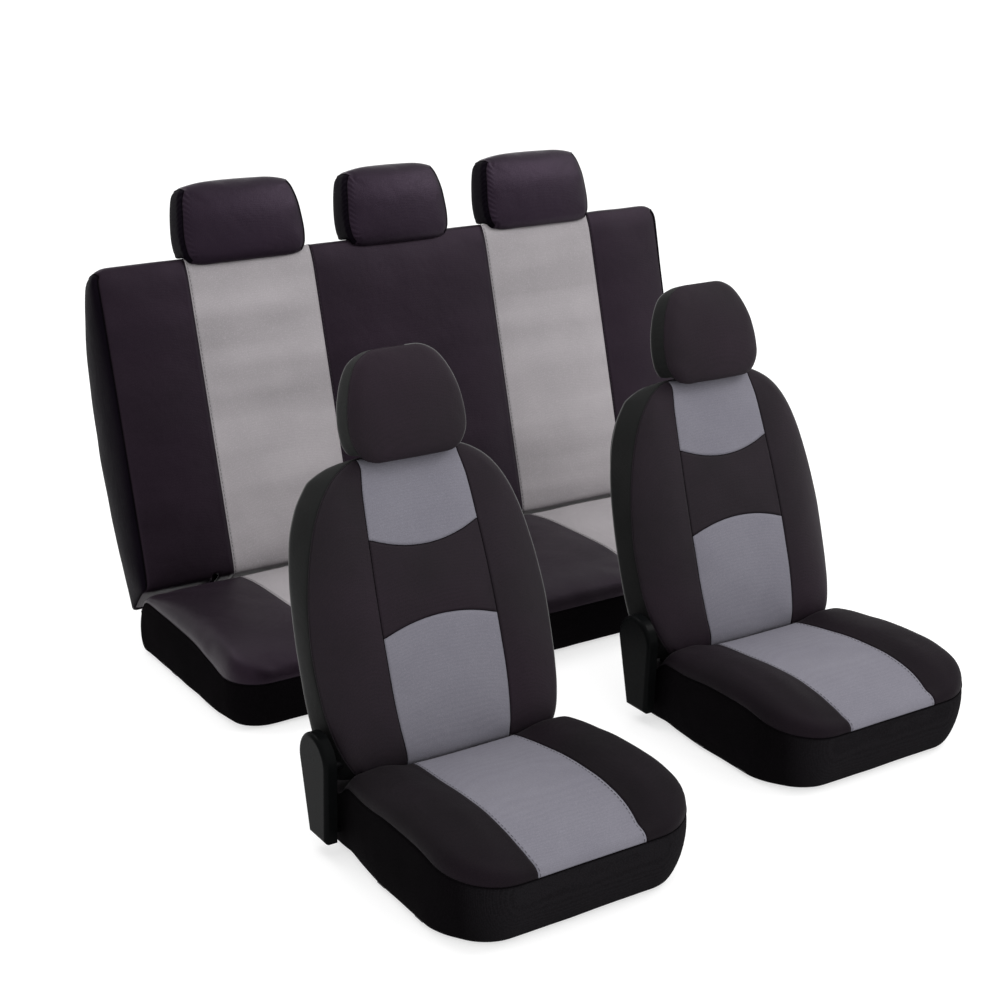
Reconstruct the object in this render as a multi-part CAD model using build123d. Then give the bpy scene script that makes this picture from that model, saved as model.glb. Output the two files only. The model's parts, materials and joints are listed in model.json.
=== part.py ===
"""Seat cover set fitted on its seats: two front bucket seats and one rear bench.

Units are millimetres.  The seats face -Y, +X is to the right, +Z is up and the floor is z = 0.
The set's origin is the middle of its footprint.  Each seat is drawn about its own origin, on the
floor: a bucket seat's is under the middle of its cushion, the bench's is under the line where its
cushion meets its backrest.  A backrest is drawn upright about its hinge line (x across, y to the
rear, z up), then leaned back and moved to its hinge.
"""
import os
from math import cos, radians

from build123d import *

# ---- driving dimensions -------------------------------------------------------------------------
COVER = 3.0              # thickness of the padded cover cloth
EASE = 0.3               # air between the cloth and what it covers
RUNNING = 0.05           # radial play of a shaft or post in its bore
HEM_Z = 2.0              # height of the skirt's hem above the floor
SEAM_Z = 100.0           # height at which the top panel is sewn to the skirt

POST_R = 6.0             # headrest post radius
SLEEVE_R = 9.0           # outside of a post sleeve
GUIDE_R = 12.0           # outside of the frame tube that holds a sleeve
FRAME_TUBE_R = 10.0      # radius of the backrest frame's tube
SHAFT_R = 8.0            # radius of the hinge shafts

FOOT = 12.0              # height of the feet under the base rails
RAIL_TOP = 52.0          # top of the base rails
BOLT_R = 5.5             # holes for M10 floor bolts
PAN = 4.0                # thickness of the sheet that carries the cushion
STRAP = (25.0, 2.0)      # width and thickness of the webbing straps
BRACKET = 5.0            # thickness of the hinge plates

FRONT_SEATS = {"front_left": (-539.0, -633.25), "front_right": (267.0, -507.25)}
REAR_AT = (42.0, 580.75)

FRONT = dict(
    half=252.0, front=-245.0, rear=168.0, tail=262.0, corner=95.0, rear_corner=30.0,
    crown=((176.0, 156.0), (30.0, 173.0), (-120.0, 171.0), (-253.0, 107.0)),
    insert=((-130.0, 130.0),),
    pivot_y=215.0, pivot_z=165.0, lean=17.0, nose=35.0,
    rail_x=170.0, rail_y=(-190.0, 150.0), bolt_y=(-160.0, 100.0),
    strap_y=(-90.0, 40.0), bracket_x=198.0, edge=26.0,
)
REAR = dict(
    half=780.0, front=-500.0, rear=-7.0, tail=-7.0, corner=70.0, rear_corner=20.0,
    crown=((1.0, 151.0), (-150.0, 170.0), (-360.0, 168.0), (-508.0, 103.0)),
    insert=((-555.0, -240.0), (240.0, 555.0)),
    pivot_y=34.0, pivot_z=158.0, lean=15.0, nose=34.0,
    rail_x=650.0, rail_y=(-440.0, -30.0), bolt_y=(-400.0, -80.0),
    strap_y=(-330.0, -150.0), bracket_x=600.0, edge=24.0,
)
FRONT_TOP = 534.0        # top of the front backrest above its hinge
REAR_TOP = 712.0         # top of the rear backrest above its hinge
FRONT_POSTS = (-65.0, 65.0)
FRONT_HEAD_HALF = 121.0  # half width of a bucket seat's headrest
REAR_HEADS = {"rear_left": (-405.0, 158.0), "rear_middle": (0.0, 143.0), "rear_right": (405.0, 158.0)}
REAR_POST_GAP = 60.0     # distance from a rear headrest's middle to each post
POST_Y = 4.0             # posts stand this far behind the hinge line

HEAD_Y = (-58.0, 48.0)   # front and rear of a headrest
LIP_Y = -37.0            # rear of the headrest's lip, just ahead of the backrest
LOWER_BAR = 90.0         # height of the backrest frame's lower cross tube above the hinge
BOSS_WALL = 7.0          # wall of the frame's hinge bosses
GUIDE = (25.0, 40.0)     # how far a guide tube reaches below and above the frame's top tube

CAP_X = (259.0, 283.0)   # recliner cap, inner and outer face
CAP_Y = (172.0, 276.0)   # recliner cap, front and rear
CAP_Z = (30.0, 232.0)    # recliner cap, lower edge and top of its arch
CAP_WALL = 4.0
CAP_EDGE = 8.0           # radius of the cap's outer edge
LUG = ((200.0, 228.0), (38.0, 46.0))     # the cap's fixing lug along Y and Z
LONG = 4000.0            # longer than anything in the set


def save(name, shape):
    """Write one sub-part."""
    export_step(shape, f"parts/{name}.step")


def box(x, y, z):
    """Box between the given limits along each axis."""
    middle = [(a + b) / 2 for a, b in (x, y, z)]
    return Pos(*middle) * Box(x[1] - x[0], y[1] - y[0], z[1] - z[0])


def rod_x(x, y, z, radius):
    """Round bar along X between the two ends in x."""
    return Pos((x[0] + x[1]) / 2, y, z) * Rot(0, 90, 0) * Cylinder(radius, x[1] - x[0])


def rod_z(x, y, z, radius):
    """Round bar along Z between the two ends in z."""
    return Pos(x, y, (z[0] + z[1]) / 2) * Cylinder(radius, z[1] - z[0])


def across(wire_points, width=LONG):
    """Extrude an outline given in Y and Z along X, both ways."""
    face = make_face(Plane.YZ * wire_points)
    return extrude(face, width / 2, both=True)


# ---- cushions -----------------------------------------------------------------------------------
def plan(seat, inset, z, end="rear"):
    """Outline seen from above, with rounded corners, between two heights; end is rear or tail."""
    half = seat["half"] - inset
    front, rear = seat["front"] + inset, seat[end] - inset
    corners = [(-half, front), (half, front), (half, rear), (-half, rear)]
    face = make_face(Polyline(*corners, close=True))
    points = face.vertices().sort_by(Axis.Y)
    face = fillet(points[:2], seat["corner"] - inset)
    face = fillet(face.vertices().sort_by(Axis.Y)[-2:], seat["rear_corner"] - inset)
    return Pos(0, 0, z[0]) * extrude(face, z[1] - z[0])


def cushion(seat, inset, bottom):
    """Cushion block: the plan cut by the crowned top and by rounded shoulders along its sides."""
    crown = [(y, z - inset) for y, z in seat["crown"]]
    (y0, z0), (y1, z1) = crown[0], crown[-1]
    outline = Spline(*crown) + Polyline((y1, z1), (y1, -50), (y0, -50), (y0, z0))
    half, edge = seat["half"] - inset, seat["edge"]
    top = max(z for _, z in crown) + 1
    face = Plane.XZ * Polyline((-half, -50), (half, -50), (half, top), (-half, top), close=True)
    face = make_face(face)
    shoulders = fillet(face.vertices().sort_by(Axis.Z)[-2:], edge - inset)
    return plan(seat, inset, (bottom, 300.0)) & across(outline) & extrude(shoulders, LONG / 2, both=True)


def cushion_parts(name, seat, place):
    """Foam, cover, inserts, skirt, straps and buckles of one cushion."""
    outer = cushion(seat, 0.0, SEAM_Z)
    inner = cushion(seat, COVER, SEAM_Z - 10)
    shell = outer - inner
    strips = [box(x, (-LONG, LONG), (0.0, 400.0)) for x in seat["insert"]]
    inserts = [shell & strip for strip in strips]
    cover = shell
    for strip in strips:
        cover = cover - strip
    pan_top = RAIL_TOP + PAN
    foam = cushion(seat, COVER + EASE, pan_top)
    save(f"{name}_cushion_foam", place * foam)
    save(f"{name}_cushion_cover", place * cover)
    save(f"{name}_cushion_insert", place * Compound(children=[s for p in inserts for s in p.solids()]))
    save(f"{name}_skirt", place * skirt(seat))
    straps(name, seat, place)


def skirt(seat):
    """Side cloth down to the floor; a bucket seat's runs on behind the cushion and is closed on top there."""
    wall = plan(seat, 0.0, (HEM_Z, SEAM_Z), "tail") - plan(seat, COVER, (HEM_Z - 1, SEAM_Z + 1), "tail")
    slit_y, slit_z = (seat["rear"] - 10, seat["rear"] + 10), (0, RAIL_TOP)
    if seat["tail"] > seat["rear"]:
        behind = box((-LONG, LONG), (seat["rear"] + EASE, LONG), (SEAM_Z - COVER, SEAM_Z))
        wall += plan(seat, 0.0, (HEM_Z, SEAM_Z), "tail") & behind
        wall -= box((-seat["half"] - 5, -seat["half"] + 5), *(grown(span, 3) for span in LUG))
        slit_y, slit_z = (seat["pivot_y"] - 23, seat["pivot_y"] + 23), (SEAM_Z - 10, SEAM_Z + 10)
    for side in (-1, 1):
        slit_x = sorted((side * (seat["bracket_x"] - 3), side * (seat["bracket_x"] + BRACKET + 3)))
        wall -= box(slit_x, slit_y, slit_z)
    return wall


def grown(span, room):
    """A span with room added at both ends."""
    return span[0] - room, span[1] + room


def straps(name, seat, place):
    """Webbing straps that pull the two sides of the skirt together under the seat."""
    width, thick = STRAP
    half = seat["half"] - COVER
    low = FOOT - thick - 0.5
    bands, buckles = [], []
    for y in seat["strap_y"]:
        band = box((-half, half), (y - width / 2, y + width / 2), (low, low + thick))
        buckle = box((-24, 24), (y - 19, y + 19), (low - 1.5, low + thick + 1.5))
        slot = box((-25, 25), (y - width / 2 - EASE, y + width / 2 + EASE), (low - EASE, low + thick + EASE))
        bands.append(band)
        buckles.append(fillet(buckle.edges().filter_by(Axis.Z), 5) - slot)
    save(f"{name}_cover_straps", place * Compound(children=bands))
    save(f"{name}_strap_buckles", place * Compound(children=buckles))


def base_frame(name, seat, place):
    """Two rails on feet with floor bolt holes, cross tubes, and the sheet that carries the cushion."""
    x, (front, rear) = seat["rail_x"], seat["rail_y"]
    frame = plan(seat, 14.0, (RAIL_TOP, RAIL_TOP + PAN - EASE))
    for side in (-x, x):
        frame += box((side - 15, side + 15), (front, rear), (FOOT, RAIL_TOP))
        for y in seat["bolt_y"]:
            frame += box((side - 20, side + 20), (y - 25, y + 25), (0, FOOT))
    for y in (seat["bolt_y"][0] + 45, seat["bolt_y"][1] - 60):
        frame += rod_x((-x, x), y, 34.0, FRAME_TUBE_R)
    for side in (-x, x):
        for y in seat["bolt_y"]:
            frame -= rod_z(side, y, (-1, 100), BOLT_R)
    save(f"{name}_base_frame", place * frame)


def hinge_brackets(name, seat, place):
    """Plates that stand on the base rails and carry the backrest's hinge shaft."""
    y, z = seat["pivot_y"], seat["pivot_z"]
    front = seat["rail_y"][1] - 90
    rail = seat["rail_x"]
    plates = []
    for side in (-1, 1):
        inner, outer = seat["bracket_x"], seat["bracket_x"] + BRACKET
        x = sorted((side * inner, side * outer))
        plate = box(x, (front, y + 20), (FOOT, 48)) + box(x, (y - 20, y + 20), (FOOT, z))
        plate += rod_x(x, y, z, 20)
        reach = (rail + 15, inner) if inner > rail else (outer, rail - 15)
        reach = sorted(side * r for r in reach)
        plate += box(reach, (front, seat["rail_y"][1]), (FOOT + 4, 44))
        plates.append(plate - rod_x((-LONG, LONG), y, z, SHAFT_R + RUNNING))
    save(f"{name}_hinge_brackets", place * Compound(children=[s for p in plates for s in p.solids()]))


def recliner_cap(name, seat, place):
    """Bullet-shaped plastic shield over the recliner on the -X side, hollow, with its fixing lug."""
    inner, outer = CAP_X
    shield = bullet(0, (-outer, -inner))
    rim = shield.faces().sort_by(Axis.X)[0].edges()
    shield = fillet(rim, CAP_EDGE) - bullet(CAP_WALL, (-outer + CAP_WALL, -inner + 1))
    lug = box((-outer + CAP_WALL / 2, -seat["bracket_x"] - BRACKET), *LUG)
    save(f"{name}_recliner_cap", place * (shield + lug))


def bullet(inset, x):
    """Outline of the recliner cap, arched at the top and narrower at the foot, between two ends in x."""
    (y0, y1), (low, top) = CAP_Y, CAP_Z
    shoulder = top - 60
    sides = Polyline((y0 + inset, shoulder), (y0 + 8 + inset, low + inset), (y1 - 30 - inset, low + inset),
                     (y1 - inset, shoulder))
    arch = ThreePointArc((y1 - inset, shoulder), ((y0 + y1) / 2, top - inset), (y0 + inset, shoulder))
    face = make_face(Plane.YZ * (sides + arch))
    return Pos(x[0], 0, 0) * extrude(face, x[1] - x[0])


# ---- backrests ----------------------------------------------------------------------------------
def front_outline(inset):
    """Front of a bucket backrest: wide at the bolsters, narrower at the shoulders."""
    i = inset
    top = FRONT_TOP - i
    side = [(218, -60), (224, 0), (240, 45), (254, 120), (258, 200), (242, 360), (220, 450)]
    side = [(x - i, z) for x, z in side]
    right = Spline(*side) + ThreePointArc(side[-1], (192 - i * 0.8, 505 - i * 0.6), (128, top))
    left = mirror(right, Plane.YZ)
    foot = Line(side[0], (-side[0][0], side[0][1]))
    face = make_face(Plane.XZ * (right + Line((128, top), (-128, top)) + left + foot))
    return extrude(face, LONG / 2, both=True)


def front_profile(inset):
    """Side of a bucket backrest, its lower end round about the hinge line."""
    n = FRONT["nose"] - inset
    rear = 82 - inset
    top = FRONT_TOP - inset
    shoulder = (52 - inset, top - 30)
    front = Polyline((-n, 0), (-n, top - 24))
    upper = ThreePointArc((-n, top - 24), (-n + 9, top - 6), (-n + 30, top)) + Line((-n + 30, top), (24, top))
    upper += ThreePointArc((24, top), (44 - inset, top - 8), shoulder)
    back = Spline(shoulder, (rear, 200), (rear - 10, 20)) + Polyline((rear - 10, 20), (40, -n), (0, -n))
    round_end = ThreePointArc((0, -n), (-n * cos(radians(45)), -n * cos(radians(45))), (-n, 0))
    return across(front + upper + back + round_end)


def front_back(inset):
    """Backrest block of a bucket seat."""
    return front_outline(inset) & front_profile(inset)


def rear_back(inset):
    """Backrest block of the bench: straight front, bowed rear, lens-shaped ends."""
    i, n = inset, REAR["nose"] - inset
    top = REAR_TOP - i
    low = -72 + i
    near, far = -n * cos(radians(60)), -n * cos(radians(30))
    front = Line((-n, 0), (-n, top - 22)) + ThreePointArc((-n, top - 22), (-n + 8, top - 6), (-n + 26, top))
    bow = Line((-n + 26, top), (22 - i, top - 4)) + Spline((22 - i, top - 4), (150 - i, 330), (92 - i, low))
    foot = Polyline((92 - i, low), (10 + i, low), (near, far))
    side = across(front + bow + foot + ThreePointArc((near, far), (far, near), (-n, 0)))
    half = REAR["half"] - i
    face = make_face(Plane.XZ * Polyline((-half, -200), (half, -200), (half, top), (-half, top), close=True))
    face = fillet(face.vertices().sort_by(Axis.Z)[-2:], 34 - i)
    return side & extrude(face, LONG / 2, both=True)


def leaned(seat):
    """Where the backrest's own frame stands in the seat's frame."""
    return Pos(0, seat["pivot_y"], seat["pivot_z"]) * Rot(-seat["lean"], 0, 0)


def back_frame(name, seat, place, upright_x, height, posts):
    """Tube hoop with its hinge bosses and the guide tubes for the headrest posts."""
    reach = max(upright_x)
    rear_y = POST_Y + GUIDE_R + FRAME_TUBE_R - 1
    frame = rod_x((-reach, reach), rear_y, height, FRAME_TUBE_R)
    frame += rod_x((-reach, reach), rear_y, LOWER_BAR, FRAME_TUBE_R)
    for x in upright_x:
        frame += rod_z(x, rear_y, (14, height), FRAME_TUBE_R)
    for x in (-reach, reach):
        frame += rod_x((x - 14, x + 14), 0, 0, SHAFT_R + BOSS_WALL)
        frame += box((x - 8, x + 8), (0, rear_y), (-8, 30))
    for x in posts:
        frame += rod_z(x, POST_Y, (height - GUIDE[0], height + GUIDE[1]), GUIDE_R)
    for x in posts:
        frame -= rod_z(x, POST_Y, (0, LONG), SLEEVE_R)
    frame -= rod_x((-LONG, LONG), 0, 0, SHAFT_R + 0.01)
    save(f"{name}_back_frame", place * frame)
    sleeves = []
    for x in posts:
        top = (FRONT_TOP if seat is FRONT else REAR_TOP) + 0.5
        sleeve = rod_z(x, POST_Y, (height - GUIDE[0], top), SLEEVE_R - 0.01)
        sleeve += rod_z(x, POST_Y, (top, top + 3), 14)
        sleeves.append(sleeve - rod_z(x, POST_Y, (0, LONG), POST_R + RUNNING))
    save(f"{name}_post_sleeves", place * Compound(children=sleeves))


def frame_room(upright_x, height, posts, top):
    """Channels in the foam for the frame, the posts and the shaft."""
    reach = max(upright_x)
    rear_y = POST_Y + GUIDE_R + FRAME_TUBE_R - 1
    radius = FRAME_TUBE_R + EASE
    room = rod_x((-reach, reach), rear_y, height, radius) + rod_x((-reach, reach), rear_y, LOWER_BAR, radius)
    for x in upright_x:
        room += rod_z(x, rear_y, (13, height + radius + 2), radius)
    for x in (-reach, reach):
        room += box((x - 15, x + 15), (-16, rear_y + radius), (-60, 31))
    for x in posts:
        room += rod_z(x, POST_Y, (height - 120, top + 50), GUIDE_R + EASE)
    room += rod_x((-LONG, LONG), 0, 0, SHAFT_R + EASE)
    return room


def back_parts(name, seat, place, block, inserts, upright_x, height, posts, top):
    """Foam, cover and inserts of one backrest; the cover is a sock, open at the bottom."""
    room = frame_room(upright_x, height, posts, top)
    slots = Part()
    for side in (-1, 1):
        x = sorted((side * (seat["bracket_x"] - 3), side * (seat["bracket_x"] + BRACKET + 3)))
        slots += box(x, (-200, 300), (-200, 26))
    foam = block(COVER + EASE) - room - slots
    shell = block(0) - block(COVER) - box((-LONG, LONG), (-LONG, LONG), (-LONG, -20)) - slots
    shell = shell - rod_x((-LONG, LONG), 0, 0, SHAFT_R + EASE)
    for x in posts:
        shell = shell - rod_z(x, POST_Y, (top - 60, top + 50), SLEEVE_R + EASE)
    front = box((-LONG, LONG), (-LONG, -seat["nose"] + COVER), (-LONG, LONG))
    panels = [shell & front & zone for zone in inserts]
    cover = shell
    for piece in panels:
        cover = cover - piece
    save(f"{name}_back_foam", place * foam)
    save(f"{name}_back_cover", place * cover)
    save(f"{name}_back_insert", place * Compound(children=[s for p in panels for s in p.solids()]))


def panel(points, arc_up):
    """Insert outline in X and Z: a quadrilateral whose top or bottom edge is an arc."""
    (x0, z0), (x1, z1), bulge = points
    if arc_up:
        edge = ThreePointArc((-x1, z1), (0, z1 + bulge), (x1, z1))
        wire = edge + Polyline((x1, z1), (x0, z0), (-x0, z0), (-x1, z1))
    else:
        edge = ThreePointArc((-x0, z0), (0, z0 - bulge), (x0, z0))
        wire = edge + Polyline((x0, z0), (x1, z1), (-x1, z1), (-x0, z0))
    return extrude(make_face(Plane.XZ * wire), LONG / 2, both=True)


# ---- headrests -----------------------------------------------------------------------------------
def head(half, bottom, lip, top, crown, inset):
    """Headrest block about its own middle: rounded front view, with a lip ahead of the backrest."""
    i = inset
    low, high = lip + i, top - i
    wide, foot, shoulder = half - i, half - 16 - i, half - crown - i
    outline = Polyline((-foot, low), (foot, low), (wide, low + 60), (shoulder, high), (-shoulder, high),
                       (-wide, low + 60), close=True)
    face = make_face(Plane.XZ * outline)
    corners = face.vertices().sort_by(Axis.Z)
    face = fillet(corners[:2], 24 - i)
    face = fillet(face.vertices().sort_by(Axis.Z)[-2:], 48 - i)
    front_y, rear_y = HEAD_Y
    side = across(Polyline((front_y + 6 + i, low), (front_y + i, low + 40), (front_y + 12 + i, high - 30),
                           (front_y + 34 + i, high), (rear_y - 26 - i, high), (rear_y - i, high - 40),
                           (rear_y - i, bottom + i), (LIP_Y - i, bottom + i), (LIP_Y - i, low),
                           (front_y + 6 + i, low)))
    return extrude(face, LONG / 2, both=True) & side


def head_parts(name, centre, half, top_of_back, lip_drop, height, crown, gap, place):
    """Posts, foam and cover of one headrest."""
    bottom = top_of_back + 4.0
    spec = dict(half=half, bottom=bottom, lip=top_of_back - lip_drop, top=bottom + height, crown=crown)
    at = place * Pos(centre, 0, 0)
    cover = head(inset=0, **spec) - head(inset=COVER, **spec)
    foam = head(inset=COVER + EASE, **spec)
    posts, room = Part(), Part()
    low, high = top_of_back - 130, bottom + height * 0.6
    for x in (-gap, gap):
        posts += rod_z(x, POST_Y, (low, high), POST_R)
        room += rod_z(x, POST_Y, (low, high + POST_R), POST_R + EASE)
    posts += rod_x((-gap, gap), POST_Y, high, POST_R)
    room += rod_x((-gap - POST_R, gap + POST_R), POST_Y, high, POST_R + EASE)
    save(f"{name}_head_posts", at * posts)
    save(f"{name}_head_foam", at * (foam - room))
    save(f"{name}_head_cover", at * (cover - room))


# ---- the set ------------------------------------------------------------------------------------
def front_seat(name, origin):
    """One bucket seat with its covers."""
    place = Pos(origin[0], origin[1], 0)
    cushion_parts(name, FRONT, place)
    base_frame(name, FRONT, place)
    hinge_brackets(name, FRONT, place)
    recliner_cap(name, FRONT, place)
    back = place * leaned(FRONT)
    uprights, height = (-170.0, 170.0), 440.0
    lower = panel(((118, -30), (122, 205), 24), True)
    upper = panel(((118, 386), (106, FRONT_TOP - 1), 28), False)
    back_frame(name, FRONT, back, uprights, height, FRONT_POSTS)
    back_parts(name, FRONT, back, front_back, (lower, upper), uprights, height, FRONT_POSTS, FRONT_TOP)
    save(f"{name}_recliner_shaft", back * rod_x((-255, 210), 0, 0, SHAFT_R))
    head_parts(name, 0, FRONT_HEAD_HALF, FRONT_TOP, 9.0, 188.0, 38.0, FRONT_POSTS[1], back)


def rear_bench(name="rear"):
    """The bench with its covers and three headrests."""
    place = Pos(REAR_AT[0], REAR_AT[1], 0)
    cushion_parts(name, REAR, place)
    base_frame(name, REAR, place)
    hinge_brackets(name, REAR, place)
    back = place * leaned(REAR)
    uprights, height = (-570.0, -200.0, 200.0, 570.0), 600.0
    posts = [x + side * REAR_POST_GAP for x, _ in REAR_HEADS.values() for side in (-1, 1)]
    strips = [box(x, (-LONG, LONG), (-LONG, LONG)) for x in REAR["insert"]]
    back_frame(name, REAR, back, uprights, height, posts)
    back_parts(name, REAR, back, rear_back, strips, uprights, height, posts, REAR_TOP)
    pins = [back * rod_x(x, 0, 0, SHAFT_R) for x in ((-612, -540), (540, 612))]
    save(f"{name}_hinge_pins", Compound(children=pins))
    for head_name, (x, half) in REAR_HEADS.items():
        head_parts(head_name, x, half, REAR_TOP, 24.0, 163.0, 22.0, REAR_POST_GAP, back)


os.makedirs("parts", exist_ok=True)
for seat_name, seat_origin in FRONT_SEATS.items():
    front_seat(seat_name, seat_origin)
rear_bench()
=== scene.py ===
"""Looks of the seat cover set: padded two-tone covers on two bucket seats and a bench.

Every seat is built in its own frame, in metres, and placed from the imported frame's joints and boxes.
A cushion's frame is on the floor under its middle; a backrest's frame is on its hinge line, upright,
with x across, y to the rear and z up its length, and is then leaned back onto the hinge.
Each cover is drawn as one closed shape whose grid lines follow its seams, swelled by a cloth
simulation that is held along the seams, and then parted into its sewn panels.
"""

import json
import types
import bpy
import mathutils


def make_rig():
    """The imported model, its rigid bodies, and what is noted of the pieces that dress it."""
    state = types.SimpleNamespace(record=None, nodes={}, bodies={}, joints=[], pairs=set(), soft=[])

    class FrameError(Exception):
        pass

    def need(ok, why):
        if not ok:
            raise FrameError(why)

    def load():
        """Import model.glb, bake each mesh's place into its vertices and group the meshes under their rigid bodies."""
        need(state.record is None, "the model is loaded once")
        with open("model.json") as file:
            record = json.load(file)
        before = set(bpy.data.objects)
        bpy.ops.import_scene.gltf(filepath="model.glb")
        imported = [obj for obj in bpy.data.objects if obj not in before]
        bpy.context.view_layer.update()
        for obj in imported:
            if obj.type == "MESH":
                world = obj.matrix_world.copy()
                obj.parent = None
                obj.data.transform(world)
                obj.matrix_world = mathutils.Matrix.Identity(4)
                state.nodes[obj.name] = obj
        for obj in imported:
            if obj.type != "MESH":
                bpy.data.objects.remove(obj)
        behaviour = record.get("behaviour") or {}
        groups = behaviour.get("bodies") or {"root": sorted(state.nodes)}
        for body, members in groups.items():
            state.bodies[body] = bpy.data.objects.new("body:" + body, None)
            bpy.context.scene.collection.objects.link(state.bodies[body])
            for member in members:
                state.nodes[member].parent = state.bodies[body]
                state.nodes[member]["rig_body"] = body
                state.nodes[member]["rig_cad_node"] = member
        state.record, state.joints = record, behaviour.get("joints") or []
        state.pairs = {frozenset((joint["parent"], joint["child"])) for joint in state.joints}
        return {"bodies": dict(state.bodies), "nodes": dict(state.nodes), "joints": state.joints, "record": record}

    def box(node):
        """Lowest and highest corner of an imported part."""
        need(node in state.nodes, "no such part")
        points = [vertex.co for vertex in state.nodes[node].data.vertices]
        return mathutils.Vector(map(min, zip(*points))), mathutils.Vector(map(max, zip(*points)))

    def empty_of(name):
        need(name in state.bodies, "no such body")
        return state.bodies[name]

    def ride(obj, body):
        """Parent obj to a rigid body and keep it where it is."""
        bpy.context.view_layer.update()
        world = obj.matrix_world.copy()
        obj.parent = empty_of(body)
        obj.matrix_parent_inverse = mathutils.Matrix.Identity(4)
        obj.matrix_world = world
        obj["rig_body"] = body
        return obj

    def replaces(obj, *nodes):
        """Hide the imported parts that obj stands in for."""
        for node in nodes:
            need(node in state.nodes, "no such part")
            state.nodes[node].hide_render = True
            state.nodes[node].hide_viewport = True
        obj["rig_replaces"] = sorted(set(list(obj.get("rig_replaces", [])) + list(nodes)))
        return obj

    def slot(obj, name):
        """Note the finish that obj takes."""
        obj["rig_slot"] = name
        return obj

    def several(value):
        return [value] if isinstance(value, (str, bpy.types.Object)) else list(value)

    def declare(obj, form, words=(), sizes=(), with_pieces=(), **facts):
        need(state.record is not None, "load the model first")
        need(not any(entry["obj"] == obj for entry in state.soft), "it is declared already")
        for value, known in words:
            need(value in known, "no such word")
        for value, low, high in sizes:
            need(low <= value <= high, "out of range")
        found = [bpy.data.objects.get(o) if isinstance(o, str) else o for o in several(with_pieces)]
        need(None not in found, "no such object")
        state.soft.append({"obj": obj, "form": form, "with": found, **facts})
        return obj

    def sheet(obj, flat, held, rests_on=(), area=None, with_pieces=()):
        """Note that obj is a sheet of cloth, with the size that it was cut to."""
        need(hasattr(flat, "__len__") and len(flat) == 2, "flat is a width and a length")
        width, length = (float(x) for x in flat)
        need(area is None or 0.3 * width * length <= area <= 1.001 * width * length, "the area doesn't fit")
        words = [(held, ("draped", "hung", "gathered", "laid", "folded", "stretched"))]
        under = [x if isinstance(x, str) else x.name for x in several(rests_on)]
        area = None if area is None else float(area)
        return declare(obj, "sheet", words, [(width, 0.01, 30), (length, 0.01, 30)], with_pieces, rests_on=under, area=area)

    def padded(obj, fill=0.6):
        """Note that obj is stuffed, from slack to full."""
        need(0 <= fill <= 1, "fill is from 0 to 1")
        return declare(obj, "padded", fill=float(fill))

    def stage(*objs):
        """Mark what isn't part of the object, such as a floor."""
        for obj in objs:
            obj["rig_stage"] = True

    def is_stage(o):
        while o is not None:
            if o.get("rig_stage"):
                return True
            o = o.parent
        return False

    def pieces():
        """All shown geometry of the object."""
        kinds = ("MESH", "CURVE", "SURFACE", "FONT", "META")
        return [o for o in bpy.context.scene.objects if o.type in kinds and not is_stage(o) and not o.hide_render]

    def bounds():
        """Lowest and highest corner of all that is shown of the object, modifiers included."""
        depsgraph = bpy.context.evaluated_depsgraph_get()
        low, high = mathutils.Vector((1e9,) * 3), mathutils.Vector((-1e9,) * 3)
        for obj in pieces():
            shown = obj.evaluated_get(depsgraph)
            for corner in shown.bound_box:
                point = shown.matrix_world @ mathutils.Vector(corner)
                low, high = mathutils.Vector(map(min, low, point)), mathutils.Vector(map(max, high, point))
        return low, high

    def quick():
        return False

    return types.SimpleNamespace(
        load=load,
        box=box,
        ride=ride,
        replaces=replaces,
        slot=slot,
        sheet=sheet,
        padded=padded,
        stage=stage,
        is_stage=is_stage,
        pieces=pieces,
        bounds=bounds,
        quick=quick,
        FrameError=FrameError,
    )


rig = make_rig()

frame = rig.load()

import json
from collections import namedtuple
from math import cos, radians, sin, sqrt, tau

import bmesh
import bpy
import numpy as np
from mathutils import Euler, Matrix, Vector, noise

cad_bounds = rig.bounds()
scene = bpy.context.scene

# ---- driving values -----------------------------------------------------------------------------
CLOTH = 0.003            # thickness of the padded cover cloth
HEM_Z = 0.002            # height of the skirt's hem above the floor
PIPE_R = 0.0011          # radius of the thin welt along an outer seam
SEAM_R = 0.0006          # radius of the dark line along an inner seam
THREAD_R = 0.00045       # radius of a sewing thread
STITCH = 0.0062          # length of one visible stitch
STITCH_PITCH = 0.0098    # from one stitch to the next
STITCH_SIDE = 0.004      # from the seam to its row of stitches
STITCH_LIFT = 0.0006     # height of a stitch over the cloth
TURNED_HEM = 0.028       # cloth turned under along a hem and at each corner
SLIT = 0.016             # width of the slit in a backrest cover for a hinge plate
SEAT_FILL, HEAD_FILL = 0.8, 0.9          # padding of the seats' and of the headrests' covers
CORNER_CUT = 1 - cos(radians(45))        # how far inside an edge a round corner's middle is, over its radius
BENCH_SEAMS = [lambda along: 0.240, lambda along: 0.555]         # edges of the bench's pale strips
BRIGHT_SKY = (0.45, -0.25, 0.86)         # where the studio's soft light is strongest
SKY = (0.30, 1.50)                       # its strength away from there and towards it

HINGES = {joint["name"]: Vector(joint["pos_m"]) for joint in frame["joints"] if "pos_m" in joint}
BUCKETS = ("front_left", "front_right")
BUCKET_LEAN, BENCH_LEAN = radians(17), radians(15)
BUCKET_PIVOT, BENCH_PIVOT = 0.215, 0.034      # hinge line behind each cushion's own origin


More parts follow.
